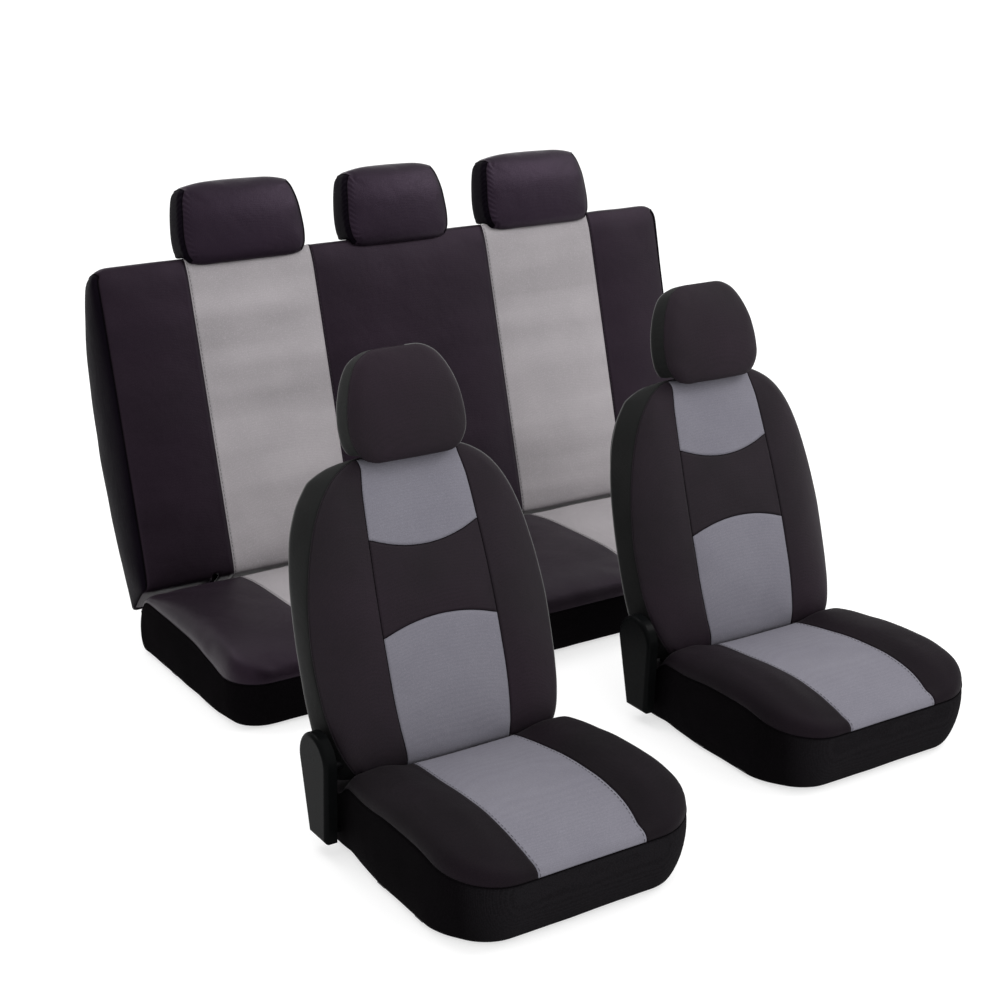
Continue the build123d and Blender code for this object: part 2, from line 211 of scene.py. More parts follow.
# ---- curves and grids ---------------------------------------------------------------------------
def curve(points):
    """Smooth function through points (x, y) in order of x, with no overshoot, level beyond its ends."""
    px, py = (np.array(v, float) for v in zip(*points))
    slope = np.diff(py) / np.diff(px)
    tangent = np.concatenate(([slope[0]], np.zeros(len(px) - 2), [slope[-1]]))
    for k in range(1, len(px) - 1):
        if slope[k - 1] * slope[k] > 0:
            tangent[k] = 2 * slope[k - 1] * slope[k] / (slope[k - 1] + slope[k])

    def at(x):
        x = np.clip(np.asarray(x, float), px[0], px[-1])
        k = np.clip(np.searchsorted(px, x, side="right") - 1, 0, len(px) - 2)
        width = px[k + 1] - px[k]
        t = (x - px[k]) / width
        ends = (1 + 2 * t) * (1 - t) ** 2 * py[k] + t * t * (3 - 2 * t) * py[k + 1]
        return ends + width * (t * (1 - t) ** 2 * tangent[k] + t * t * (t - 1) * tangent[k + 1])

    return at


def level(z):
    """A straight guide line across a panel."""
    return lambda x: np.full_like(x, z)


def arc(corner_x, z, rise):
    """A guide line that bows by rise between -corner_x and corner_x and is straight outside them."""
    return lambda x: z + rise * np.clip(1 - (x / corner_x) ** 2, 0, None)


def turned(z, rise, start, end, power=2):
    """A guide line at z that turns by rise between start and end, on both sides of the middle."""
    return lambda x: z + rise * np.clip((np.abs(x) - start) / (end - start), 0, 1) ** power


def rounded(straight_x, z, corner, reach):
    """An end line at z whose last part, past straight_x, turns towards reach by a corner's radius."""
    def at(x):
        past = np.clip(np.abs(x) - straight_x, 0, corner)
        return z + np.sign(reach) * (corner - np.sqrt(corner ** 2 - past ** 2))

    return at


def spread(stops, counts):
    """Values through the stops, evenly spaced between each two."""
    values = [stops[0]]
    for a, b, count in zip(stops, stops[1:], counts):
        values += [a + (b - a) * k / count for k in range(1, count + 1)]
    return np.array(values)


def grid_of(side, inner, columns, guides, rows):
    """Grid of (across, along) points of a panel seen face on.

    side gives the half width at a height, inner the half widths of the seams that run along the
    panel, columns the number of cells between the middle, each seam and the side. guides are lines
    across the panel, each (its height at the side, its shape), and rows the cells between them.
    """
    def across(height):
        half = spread([0.0, *(float(f(height)) for f in inner), float(side(height))], columns)
        return np.concatenate((-half[:0:-1], half))

    lines = [(height, shape(across(height))) for height, shape in guides]
    grid = []
    for k, count in enumerate(rows):
        (low, low_line), (high, high_line) = lines[k], lines[k + 1]
        for step in range(count + (k == len(rows) - 1)):
            t = step / count
            x = across(low + (high - low) * t)
            grid.append(np.stack((x, low_line + (high_line - low_line) * t), axis=1))
    return np.array(grid)


def in_pale(columns, c):
    """Whether a column of cells is in a pale panel, between the outermost seam and the next or the middle."""
    from_side = min(c, 2 * sum(columns) - 1 - c)
    return 0 <= from_side - columns[-1] < columns[-2]


def rim(grid):
    """Row and column of each point once round a grid, from its first corner."""
    rows, cols = grid.shape[:2]
    around = [(0, c) for c in range(cols)] + [(r, cols - 1) for r in range(1, rows)]
    around += [(rows - 1, c) for c in range(cols - 2, -1, -1)] + [(r, 0) for r in range(rows - 2, 0, -1)]
    return around


def outward(grid):
    """Unit vectors out of a grid's outline, in its own plane, in the order of rim."""
    points = np.array([grid[rc] for rc in rim(grid)])
    along = np.roll(points, -1, axis=0) - np.roll(points, 1, axis=0)
    normal = np.stack((along[:, 1], -along[:, 0]), axis=1)
    return normal / np.linalg.norm(normal, axis=1)[:, None]


def drawn_in(grid, inset):
    """The grid with its outline moved inwards by inset, and its outer cells narrowed to suit."""
    margin = 5
    rows, cols = grid.shape[:2]
    move = np.zeros_like(grid)
    for (r, c), n in zip(rim(grid), outward(grid)):
        move[r, c] = -inset * n
    near = lambda k, count: np.clip(1 - np.minimum(k, count - 1 - k) / margin, 0, 1)
    u, v = near(np.arange(cols), cols), near(np.arange(rows), rows)
    left, low = np.arange(cols) < cols / 2, np.arange(rows) < rows / 2
    out = grid.copy()
    for r in range(rows):
        for c in range(cols):
            end_c, end_r = (0 if left[c] else cols - 1), (0 if low[r] else rows - 1)
            shift = u[c] * move[r, end_c] + v[r] * move[end_r, c] - u[c] * v[r] * move[end_r, end_c]
            out[r, c] += shift
    return out


# ---- one closed cover ---------------------------------------------------------------------------
class Cover:
    """A closed quad mesh: a front grid, rings round its edge, a back grid, and each face's panel name.

    Each ring is (inset, slide, depth): how far it lies inside the outline, whether that is the front
    outline (0), the back one (1) or between them, and its depth from the front (0) to the back (1).
    An inset or a depth may be a function of the outline's points.
    """

    def __init__(self, front, back, front_depth, back_depth, rings, upright, panel_of):
        first, last = rings[0], rings[-1]
        face, rear = drawn_in(front, first[0]), drawn_in(back, last[0])
        around = rim(front)
        out_front, out_back = outward(front), outward(back)
        edge_front = np.array([front[rc] for rc in around])
        edge_back = np.array([back[rc] for rc in around])
        near = front_depth(*np.array([face[rc] for rc in around]).T)
        far = back_depth(*np.array([rear[rc] for rc in around]).T)
        layers = []
        for inset, slide, depth in rings[1:-1]:
            inset = inset(edge_front)[:, None] if callable(inset) else inset
            flat = edge_front * (1 - slide) + edge_back * slide
            flat = flat - inset * (out_front * (1 - slide) + out_back * slide)
            deep = depth(edge_front, near) if callable(depth) else near + depth * (far - near)
            layers.append(np.column_stack((flat, deep)))
        rows, cols = front.shape[:2]
        self.rows, self.cols, self.around, self.layers = rows, cols, around, len(layers)
        flat_face, flat_rear = face.reshape(-1, 2), rear.reshape(-1, 2)
        points = [np.column_stack((flat_face, front_depth(*flat_face.T)))]
        points += layers
        points.append(np.column_stack((flat_rear, back_depth(*flat_rear.T))))
        points = np.vstack(points)
        self.points = points[:, [0, 2, 1]] if upright else points
        self._faces(panel_of)

    def _faces(self, panel_of):
        rows, cols, count = self.rows, self.cols, len(self.around)
        cell = lambda r, c: r * cols + c
        back_start = rows * cols + self.layers * count
        self.faces, self.panels = [], []
        for r in range(rows - 1):
            for c in range(cols - 1):
                quad = [cell(r, c), cell(r, c + 1), cell(r + 1, c + 1), cell(r + 1, c)]
                self.faces.append(quad)
                self.panels.append(panel_of("front", r, c))
                self.faces.append([back_start + k for k in reversed(quad)])
                self.panels.append(panel_of("back", r, c))

        def ring(layer, p):
            p %= count
            if layer == 0:
                return cell(*self.around[p])
            if layer > self.layers:
                return back_start + cell(*self.around[p])
            return rows * cols + (layer - 1) * count + p

        for layer in range(self.layers + 1):
            for p in range(count):
                quad = [ring(layer, p), ring(layer + 1, p), ring(layer + 1, p + 1), ring(layer, p + 1)]
                self.faces.append(quad)
                r, c = self.around[p]
                r2, c2 = self.around[(p + 1) % count]
                self.panels.append(panel_of("band", min(r, r2), min(c, c2), layer,
                                            (r == r2 == 0), (r == r2 == rows - 1)))

    def build(self, name):
        """The cover as a Blender object, one material slot for each panel name."""
        mesh = bpy.data.meshes.new(name)
        mesh.from_pydata(self.points.tolist(), [], self.faces)
        names = sorted(set(self.panels))
        for panel in names:
            mesh.materials.append(bpy.data.materials.get(panel) or bpy.data.materials.new(panel))
        mesh.polygons.foreach_set("material_index", [names.index(panel) for panel in self.panels])
        mesh.polygons.foreach_set("use_smooth", [True] * len(self.faces))
        tidy = bmesh.new()
        tidy.from_mesh(mesh)
        bmesh.ops.recalc_face_normals(tidy, faces=tidy.faces)
        tidy.to_mesh(mesh)
        tidy.free()
        return linked(name, mesh)


def linked(name, mesh):
    """A mesh as an object in the scene."""
    piece = bpy.data.objects.new(name, mesh)
    scene.collection.objects.link(piece)
    return piece


def coords(mesh, what="co"):
    """Places of a mesh's vertices, or their normals, one row each."""
    values = np.empty(len(mesh.vertices) * 3)
    mesh.vertices.foreach_get(what, values)
    return values.reshape(-1, 3)


def move_points(mesh, places):
    """Moves a mesh's vertices to their new places, one row each."""
    mesh.vertices.foreach_set("co", places.ravel())
    mesh.update()


def move_out(mesh, amount):
    """Moves each vertex along its normal by its own amount."""
    move_points(mesh, coords(mesh) + coords(mesh, "normal") * amount[:, None])


def seam_points(mesh):
    """Indices of the vertices that two or more panels share."""
    owners = [set() for _ in mesh.vertices]
    for polygon in mesh.polygons:
        for v in polygon.vertices:
            owners[v].add(polygon.material_index)
    return [k for k, panels in enumerate(owners) if len(panels) > 1]


def swell(piece, held, pressure, cap):
    """Blows a closed cover up as cloth, pinned at its seams and where held, with each move kept under cap."""
    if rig.quick():
        return
    mesh = piece.data
    rest = coords(mesh)
    pinned = set(seam_points(mesh)) | {v.index for v in mesh.vertices if held(v.co)}
    group = piece.vertex_groups.new(name="pinned")
    group.add(list(pinned), 1.0, "REPLACE")
    cloth = piece.modifiers.new("cloth", "CLOTH").settings
    cloth.effector_weights.gravity = 0.0
    cloth.use_pressure = True
    cloth.uniform_pressure_force = pressure
    cloth.vertex_group_mass = group.name
    cloth.tension_stiffness = cloth.compression_stiffness = 12
    cloth.shear_stiffness = 6
    cloth.bending_stiffness = 0.6
    for step in range(1, 21):
        scene.frame_set(step)
    swollen = coords(piece.evaluated_get(bpy.context.evaluated_depsgraph_get()).data)
    piece.modifiers.clear()
    piece.vertex_groups.clear()
    scene.frame_set(1)
    move = swollen - rest
    length = np.linalg.norm(move, axis=1, keepdims=True)
    move *= cap * np.tanh(length / cap) / np.maximum(length, 1e-9)
    move_points(mesh, rest + move)


def applied(piece, kind, **settings):
    """Applies one modifier to a piece, and returns its new mesh."""
    modifier = piece.modifiers.new(kind, kind)
    for key, value in settings.items():
        setattr(modifier, key, value)
    mesh = bpy.data.meshes.new_from_object(piece.evaluated_get(bpy.context.evaluated_depsgraph_get()))
    piece.modifiers.clear()
    piece.data = mesh
    return mesh


def ripple(mesh, amount, size, seed):
    """Slight unevenness of padded cloth, along each point's normal; seams stay where they are."""
    wave = np.array([noise.noise(Vector(p)) for p in coords(mesh) / size + (seed, 0.0, 0.0)])
    wave[seam_points(mesh)] = 0.0
    move_out(mesh, amount * wave)


def slit(mesh, middle, tops):
    """Opens the foot of a backrest cover where a hinge plate passes, up to its front and its rear top."""
    span = (middle - SLIT / 2, middle + SLIT / 2)
    reach = max(tops) + 0.03
    bm = bmesh.new()
    bm.from_mesh(mesh)
    for x in span:
        low = [f for f in bm.faces if f.calc_center_median().z < reach]
        parts = low + list({e for f in low for e in f.edges}) + list({v for f in low for v in f.verts})
        bmesh.ops.bisect_plane(bm, geom=parts, plane_co=(x, 0, 0), plane_no=(1, 0, 0))
    middles = [(f, f.calc_center_median()) for f in bm.faces]
    cut = [f for f, centre in middles if centre.z < tops[centre.y > 0] and span[0] < centre.x < span[1]]
    bmesh.ops.delete(bm, geom=cut, context="FACES")
    bm.to_mesh(mesh)
    bm.free()


def gather(mesh, runs, reach, pitch, amount):
    """Small slanting folds where the cloth is drawn up along the left seam; they die out away from it."""
    left, held, slant, unevenness = -0.06, 0.002, 0.7, 1.6
    line = np.array([point for run in runs for point, _ in run if point.x < left])
    line = line[np.argsort(line[:, 2])]
    away = np.linalg.norm(coords(mesh)[:, None, :] - line[None, :, :], axis=2)
    nearest, gap = away.argmin(axis=1), away.min(axis=1)
    along = line[nearest, 2] + slant * gap
    fold = np.sin(tau * along / pitch + unevenness * np.sin(along * 47.0)) * np.clip(1 - gap / reach, 0, 1)
    move_out(mesh, amount * fold * np.clip(gap / held, 0, 1))


def seam_chains(mesh, one, other):
    """Runs of points along the edges between two panels, each a list in order."""
    names = [m.name for m in mesh.materials]
    wanted = {names.index(one), names.index(other)}
    owners = {}
    for polygon in mesh.polygons:
        for key in polygon.edge_keys:
            owners.setdefault(key, set()).add(polygon.material_index)
    links = {}
    for (a, b), panels in owners.items():
        if panels == wanted:
            links.setdefault(a, []).append(b)
            links.setdefault(b, []).append(a)
    runs, used = [], set()
    starts = [k for k in links if len(links[k]) != 2] + list(links)
    for start in starts:
        for step in links[start]:
            if (start, step) in used:
                continue
            run, here, ahead = [start], start, step
            while True:
                used.update(((here, ahead), (ahead, here)))
                run.append(ahead)
                onward = [k for k in links[ahead] if (ahead, k) not in used]
                if len(links[ahead]) != 2 or not onward:
                    break
                here, ahead = ahead, onward[0]
            if len(run) > 3:
                runs.append([(mesh.vertices[k].co.copy(), mesh.vertices[k].normal.copy()) for k in run])
    return runs


def tube(bm, path, radius, sides=6):
    """A round tube along a path of points, with its ends capped; radius may be a list, one for each point."""
    rings, side_way = [], Vector((0.0, 0.0, 1.0))
    for k, point in enumerate(path):
        along = (path[min(k + 1, len(path) - 1)] - path[max(k - 1, 0)]).normalized()
        across = along.cross(side_way)
        if across.length < 0.1:
            across = along.cross(Vector((1.0, 0.0, 0.0)))
        across.normalize()
        side_way = across.cross(along).normalized()
        size = radius[k] if isinstance(radius, list) else radius
        turn = [tau * s / sides for s in range(sides)]
        rings.append([bm.verts.new(point + size * (cos(a) * across + sin(a) * side_way)) for a in turn])
    for low, high in zip(rings, rings[1:]):
        for s in range(sides):
            bm.faces.new((low[s], low[(s + 1) % sides], high[(s + 1) % sides], high[s]))
    bm.faces.new(list(reversed(rings[0])))
    bm.faces.new(rings[-1])


def finish_mesh(bm, name, material):
    """A bmesh as a smooth-shaded object with one material."""
    bmesh.ops.recalc_face_normals(bm, faces=bm.faces)
    mesh = bpy.data.meshes.new(name)
    bm.to_mesh(mesh)
    bm.free()
    mesh.materials.append(material)
    mesh.polygons.foreach_set("use_smooth", [True] * len(mesh.polygons))
    return linked(name, mesh)


def welt(name, place, runs, radius, look):
    """Thin piping along seams."""
    bm = bmesh.new()
    for run in runs:
        tube(bm, [point for point, _ in run], radius)
    return Part(name, finish_mesh(bm, name, MATERIAL[look]), place)


def resample(points, pitch):
    """Points at an even pitch along a run, with their directions and normals."""
    lengths = [0.0]
    for (a, _), (b, _) in zip(points, points[1:]):
        lengths.append(lengths[-1] + (b - a).length)
    places, k = [], 0
    count = int(lengths[-1] / pitch)
    for step in range(count):
        s = (step + 0.5) * lengths[-1] / count
        while lengths[k + 1] < s:
            k += 1
        t = (s - lengths[k]) / max(lengths[k + 1] - lengths[k], 1e-9)
        (a, na), (b, nb) = points[k], points[k + 1]
        places.append((a.lerp(b, t), (b - a).normalized(), na.lerp(nb, t).normalized()))
    return places


def stitches(name, place, runs):
    """A row of short thread stitches beside each seam."""
    bm = bmesh.new()
    for run in runs:
        for point, along, normal in resample(run, STITCH_PITCH):
            middle = point + along.cross(normal) * STITCH_SIDE + normal * STITCH_LIFT
            half = along * STITCH / 2
            path = [middle - half - normal * THREAD_R, middle - half * 0.6, middle + half * 0.6,
                    middle + half - normal * THREAD_R]
            tube(bm, path, [THREAD_R * 0.5, THREAD_R, THREAD_R, THREAD_R * 0.5], sides=5)
    return Part(name, finish_mesh(bm, name, MATERIAL["thread"]), place)


def part_panels(piece, wanted):
    """Parts a finished cover into the wanted ones of its panels: {panel: object}."""
    panels = {}
    for index, material in enumerate(piece.data.materials):
        if material.name not in wanted:
            continue
        bm = bmesh.new()
        bm.from_mesh(piece.data)
        bmesh.ops.delete(bm, geom=[f for f in bm.faces if f.material_index != index], context="FACES")
        shell = bpy.data.meshes.new(material.name)
        bm.to_mesh(shell)
        bm.free()
        shell.materials.clear()
        shell.polygons.foreach_set("material_index", [0] * len(shell.polygons))
        panels[material.name] = linked(f"{piece.name}_{material.name}", shell)
    bpy.data.objects.remove(piece)
    return panels


# ---- materials ----------------------------------------------------------------------------------
class Nodes:
    """The node tree of a new material or of the world, with short calls to add and join nodes."""

    def __init__(self, owner, shader="Principled BSDF", place="Object"):
        owner.use_nodes = True
        self.owner, self.tree = owner, owner.node_tree
        self.shader = self.tree.nodes[shader]
        self.place = self.add("ShaderNodeTexCoord").outputs[place]

    @classmethod
    def material(cls, name):
        return cls(bpy.data.materials.new(name))

    def add(self, kind, **settings):
        node = self.tree.nodes.new(kind)
        for key, value in settings.items():
            if key in node.inputs:
                node.inputs[key].default_value = value
            else:
                setattr(node, key, value)
        return node

    def join(self, source, target):
        self.tree.links.new(source, target)

    def noise(self, **settings):
        return self.texture("ShaderNodeTexNoise", "Fac", **settings)

    def texture(self, kind, output, **settings):
        node = self.add(kind, **settings)
        self.join(self.place, node.inputs["Vector"])
        return node.outputs[output]

    def towards(self, way, aim):
        """1 where a direction points towards aim, falling to -1 where it points away."""
        node = self.add("ShaderNodeVectorMath", operation="DOT_PRODUCT")
        node.inputs[1].default_value = aim
        self.join(way, node.inputs[0])
        return node.outputs["Value"]

    def ramp(self, value, low, high, to_low=0.0, to_high=1.0):
        node = self.add("ShaderNodeMapRange")
        for key, number in (("From Min", low), ("From Max", high), ("To Min", to_low), ("To Max", to_high)):
            node.inputs[key].default_value = number
        self.join(value, node.inputs["Value"])
        return node.outputs["Result"]

    def mix(self, factor, one, other):
        """A colour between one and other; each is a colour or a socket."""
        node = self.add("ShaderNodeMix", data_type="RGBA")
        if isinstance(factor, float):
            node.inputs["Factor"].default_value = factor
        else:
            self.join(factor, node.inputs["Factor"])
        for socket, colour in ((node.inputs[6], one), (node.inputs[7], other)):
            if isinstance(colour, tuple):
                socket.default_value = (*colour, 1.0)
            else:
                self.join(colour, socket)
        return node.outputs[2]

    def bump(self, height, strength, distance, under=None):
        node = self.add("ShaderNodeBump", Strength=strength, Distance=distance)
        self.join(height, node.inputs["Height"])
        if under is not None:
            self.join(under, node.inputs["Normal"])
        return node.outputs["Normal"]

    def set(self, **values):
        for key, value in values.items():
            self.shader.inputs[key.replace("_", " ")].default_value = value


def cover_cloth(name, colour, shade, roughness, sheen, shine=0.12, cell=0.0021, cast=None, grain=0.5,
                tint=(1.0, 1.0, 1.0), nap=None, satin=0.0, ior=1.45, low=None):
    """Padded cover cloth: a fine regular weave, a cloudy second tone, and soft unevenness.

    nap is a lighter tone painted where the cloth faces the front, painted light of the lamps
    on that side; satin is how strongly level bands of painted light and shade show in it;
    and low is the tone of painted shade that it darkens to near the floor.
    """
    m = Nodes.material(name)
    cloud = m.noise(Scale=6.5, Detail=3.0, Roughness=0.55)
    weave = m.texture("ShaderNodeTexVoronoi", "Distance", Scale=1 / cell, Randomness=0.45)
    thread = m.noise(Scale=420.0, Detail=2.0, Roughness=0.7)
    base = m.mix(m.ramp(cloud, 0.35, 0.65), colour, shade)
    if cast:
        patch = m.noise(Scale=3.1, Detail=1.0)
        base = m.mix(m.ramp(patch, 0.45, 0.75, 0.0, 0.55), base, cast)
    # painted light: the cloth takes a lighter tone where it faces the front, where the lamps light it
    if nap:
        facing = m.towards(m.add("ShaderNodeNewGeometry").outputs["Normal"], (0.25, -0.97, 0.0))
        base = m.mix(m.ramp(facing, 0.30, 0.92), base, nap)
    # painted light and shade: level bands across the cloth, where the tone is dimmed in places
    if satin:
        level_place = m.add("ShaderNodeMapping")
        level_place.inputs["Scale"].default_value = (1.2, 1.2, 9.0)
        m.join(m.place, level_place.inputs["Vector"])
        bands = m.add("ShaderNodeTexNoise", Scale=1.0, Detail=2.0, Roughness=0.4)
        m.join(level_place.outputs["Vector"], bands.inputs["Vector"])
        dimmed = m.add("ShaderNodeVectorMath", operation="SCALE", Scale=1.0 - satin)
        m.join(base, dimmed.inputs[0])
        base = m.mix(m.ramp(bands.outputs["Fac"], 0.38, 0.62), dimmed.outputs["Vector"], base)
    # painted shade: the tone darkens towards the floor, where the seat shades the cloth
    if low:
        height = m.add("ShaderNodeSeparateXYZ")
        m.join(m.place, height.inputs["Vector"])
        base = m.mix(m.ramp(height.outputs["Z"], 0.16, 0.52), low, base)
    darker = tuple(v * 0.62 for v in colour)
    base = m.mix(m.ramp(weave, 0.25, 0.62, 0.0, grain), base, darker)
    lighter = tuple(min(1.0, v * 1.5 + 0.004) for v in colour)
    base = m.mix(m.ramp(thread, 0.5, 0.78, 0.0, 0.4), base, lighter)
    m.join(base, m.shader.inputs["Base Color"])
    m.join(m.ramp(thread, 0.3, 0.7, roughness - 0.06, roughness + 0.06), m.shader.inputs["Roughness"])
    fine = m.bump(m.ramp(weave, 0.1, 0.6, 1.0, 0.0), 0.35, 0.0005)
    soft = m.noise(Scale=38.0, Detail=2.0)
    m.join(m.bump(soft, 0.16, 0.004, fine), m.shader.inputs["Normal"])
    m.set(Sheen_Weight=sheen, Sheen_Roughness=0.4, Sheen_Tint=(*tint, 1.0),
          Specular_Tint=(*tint, 1.0), Specular_IOR_Level=shine, IOR=ior)
    return m.owner


def plastic(name, colour, roughness):
    """Moulded plastic with a fine grain."""
    m = Nodes.material(name)
    grain = m.texture("ShaderNodeTexVoronoi", "Distance", Scale=900.0, Randomness=1.0)
    cloud = m.noise(Scale=14.0, Detail=3.0)
    base = m.mix(m.ramp(cloud, 0.3, 0.7), colour, tuple(v * 1.4 for v in colour))
    m.join(base, m.shader.inputs["Base Color"])
    m.join(m.ramp(cloud, 0.3, 0.7, roughness - 0.04, roughness + 0.05), m.shader.inputs["Roughness"])
    m.join(m.bump(grain, 0.12, 0.0003), m.shader.inputs["Normal"])
    m.set(Specular_IOR_Level=0.2, IOR=1.13)
    return m.owner


def metal(name, colour, roughness, metallic, ior=1.5):
    """Steel, plated or coated, with faint drawing marks."""
    m = Nodes.material(name)
    marks = m.noise(Scale=180.0, Detail=4.0, Distortion=0.4)
    cloud = m.noise(Scale=9.0, Detail=2.0)
    base = m.mix(m.ramp(cloud, 0.3, 0.7), colour, tuple(v * 0.85 for v in colour))
    m.join(base, m.shader.inputs["Base Color"])
    m.join(m.ramp(marks, 0.3, 0.7, roughness - 0.05, roughness + 0.07), m.shader.inputs["Roughness"])
    m.join(m.bump(marks, 0.08, 0.0004), m.shader.inputs["Normal"])
    m.set(Metallic=metallic, IOR=ior)
    return m.owner


def webbing(name, colour):
    """Elastic webbing: fine ribs across the strap."""
    m = Nodes.material(name)
    ribs = m.texture("ShaderNodeTexWave", "Fac", Scale=260.0, Distortion=0.5, bands_direction="X")
    m.join(m.mix(ribs, colour, tuple(v * 2.0 for v in colour)), m.shader.inputs["Base Color"])
    m.join(m.bump(ribs, 0.5, 0.0005), m.shader.inputs["Normal"])
    m.set(Roughness=0.85, Sheen_Weight=0.2)
    return m.owner


# look: slot, colour, second tone, roughness, sheen and the rest of cover_cloth's settings
CLOTHS = {
    "charcoal": ("cover_black", (0.0112, 0.0082, 0.0108), (0.0155, 0.0105, 0.015), 0.70, 0.03,
                 dict(cast=(0.019, 0.0085, 0.0175))),
    "charcoal_seat": ("cover_black", (0.0052, 0.0036, 0.0050), (0.0072, 0.0048, 0.0070), 0.72, 0.02,
                      dict(shine=0.07, cast=(0.0095, 0.0038, 0.0088))),
    # painted shade: the gusset darkens towards the floor
    "gusset": ("cover_black", (0.0075, 0.0080, 0.0078), (0.0115, 0.0115, 0.0115), 0.72, 0.03,
               dict(ior=1.35, low=(0.0028, 0.0026, 0.0028))),
    # painted light and shade: plum, plum_satin and light_grey carry level bands of it
    "plum": ("cover_plum", (0.0064, 0.0042, 0.0062), (0.0088, 0.0056, 0.0084), 0.42, 0.04,
             dict(shine=0.30, cast=(0.0115, 0.0060, 0.0115), cell=0.0017, grain=0.3,
                  tint=(0.50, 0.36, 0.52), satin=0.35)),
    "plum_satin": ("cover_plum", (0.0036, 0.0020, 0.0038), (0.0052, 0.0028, 0.0054), 0.34, 0.03,
                   dict(shine=0.34, cast=(0.0072, 0.0036, 0.0080), cell=0.0017, grain=0.3,
                        tint=(0.60, 0.42, 0.64), satin=0.25)),
    "plum_gusset": ("cover_plum", (0.0024, 0.0016, 0.0030), (0.004, 0.0026, 0.0046), 0.55, 0.0,
                    dict(shine=0.10, cell=0.0017, tint=(0.6, 0.5, 0.8), ior=1.2)),
    "skirt": ("cover_skirt", (0.0021, 0.0017, 0.0021), (0.0030, 0.0024, 0.0030), 0.90, 0.0,
              dict(shine=0.03, cell=0.0026, ior=1.2)),
    # painted light: the front skirt is lighter where it faces the front
    "front_skirt": ("cover_skirt", (0.0021, 0.0017, 0.0021), (0.0030, 0.0024, 0.0030), 0.86, 0.0,
                    dict(shine=0.05, cell=0.0026, ior=1.2, nap=(0.0115, 0.0105, 0.0120))),
    "grey": ("cover_grey", (0.150, 0.145, 0.172), (0.165, 0.160, 0.187), 0.80, 0.04, dict(grain=0.3)),
    "light_grey": ("cover_grey_light", (0.30, 0.280, 0.292), (0.335, 0.312, 0.325), 0.52, 0.06,
                   dict(shine=0.25, cell=0.0017, grain=0.2, satin=0.25)),
    # painted highlight: this piping cloth is pale so that the outlines it is sewn along show a light edge
    "welt": ("cover_skirt", (0.11, 0.11, 0.11), (0.15, 0.15, 0.15), 0.62, 0.1, dict(cell=0.0012)),
    "thread": ("cover_skirt", (0.03, 0.028, 0.03), (0.05, 0.045, 0.05), 0.55, 0.1, dict(cell=0.0008)),
}
SLOT_OF = {look: slot for look, (slot, *_) in CLOTHS.items()}
MATERIAL = {look: cover_cloth(f"{look}_cloth", *looks, **more) for look, (_, *looks, more) in CLOTHS.items()}
MATERIAL |= {
    "steel": metal("coated_steel", (0.004, 0.004, 0.0045), 0.42, 0.0, ior=1.15),
    "chrome": metal("plated_steel", (0.72, 0.72, 0.74), 0.16, 1.0),
    "plastic": plastic("cap_plastic", (0.0022, 0.0024, 0.0025), 0.26),
    "webbing": webbing("webbing", (0.015, 0.015, 0.016)),
}
CAD_LOOK = {"base_frame": "steel", "hinge_brackets": "steel", "back_frame": "steel", "hinge_pins": "steel",
            "recliner_shaft": "steel", "recliner_cap": "plastic", "strap_buckles": "plastic",
            "post_sleeves": "plastic", "head_posts": "chrome", "cover_straps": "webbing"}

# ---- finished parts -----------------------------------------------------------------------------
# a finished piece in its seat's own frame; place is cushion, back or head, nodes are the CAD nodes
# it stands for, and fill is a padded piece's padding or a sheet's cut size
Part = namedtuple("Part", "name piece place nodes fill", defaults=((), None))


def cut_of(skirt):
    """Size the skirt's cloth is cut to: the floor line's length by the cloth's width, and its area."""
    mesh = skirt.data
    points = coords(mesh)
    edge = {}
    for polygon in mesh.polygons:
        for key in polygon.edge_keys:
            edge[key] = edge.get(key, 0) + 1
    length = lambda a, b: float(np.linalg.norm(points[a] - points[b]))
    low = [key for key, owners in edge.items() if owners == 1 and points[list(key), 2].max() < 0.02]
    girth = sum(length(*key) for key in low) + 4 * TURNED_HEM
    area = sum(polygon.area for polygon in mesh.polygons)
    return dict(flat=(girth, float(np.ptp(points[:, 2])) + TURNED_HEM), area=area)


def dress(panel, look):
    """Gives a panel the thickness of the cloth, inwards, with its material and slot."""
    mesh = applied(panel, "SOLIDIFY", thickness=CLOTH, offset=-1.0)
    mesh.materials.clear()
    mesh.materials.append(MATERIAL[look])
    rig.slot(panel, SLOT_OF[look])


def sewn(panels, place, rows):
    """A cover's panels as parts, each dressed, from rows of (panel, name, look, nodes, fill)."""
    for panel, _, look, *_ in rows:
        dress(panels[panel], look)
    return [Part(name, panels[panel], place, nodes, fill) for panel, name, _, nodes, fill in rows]


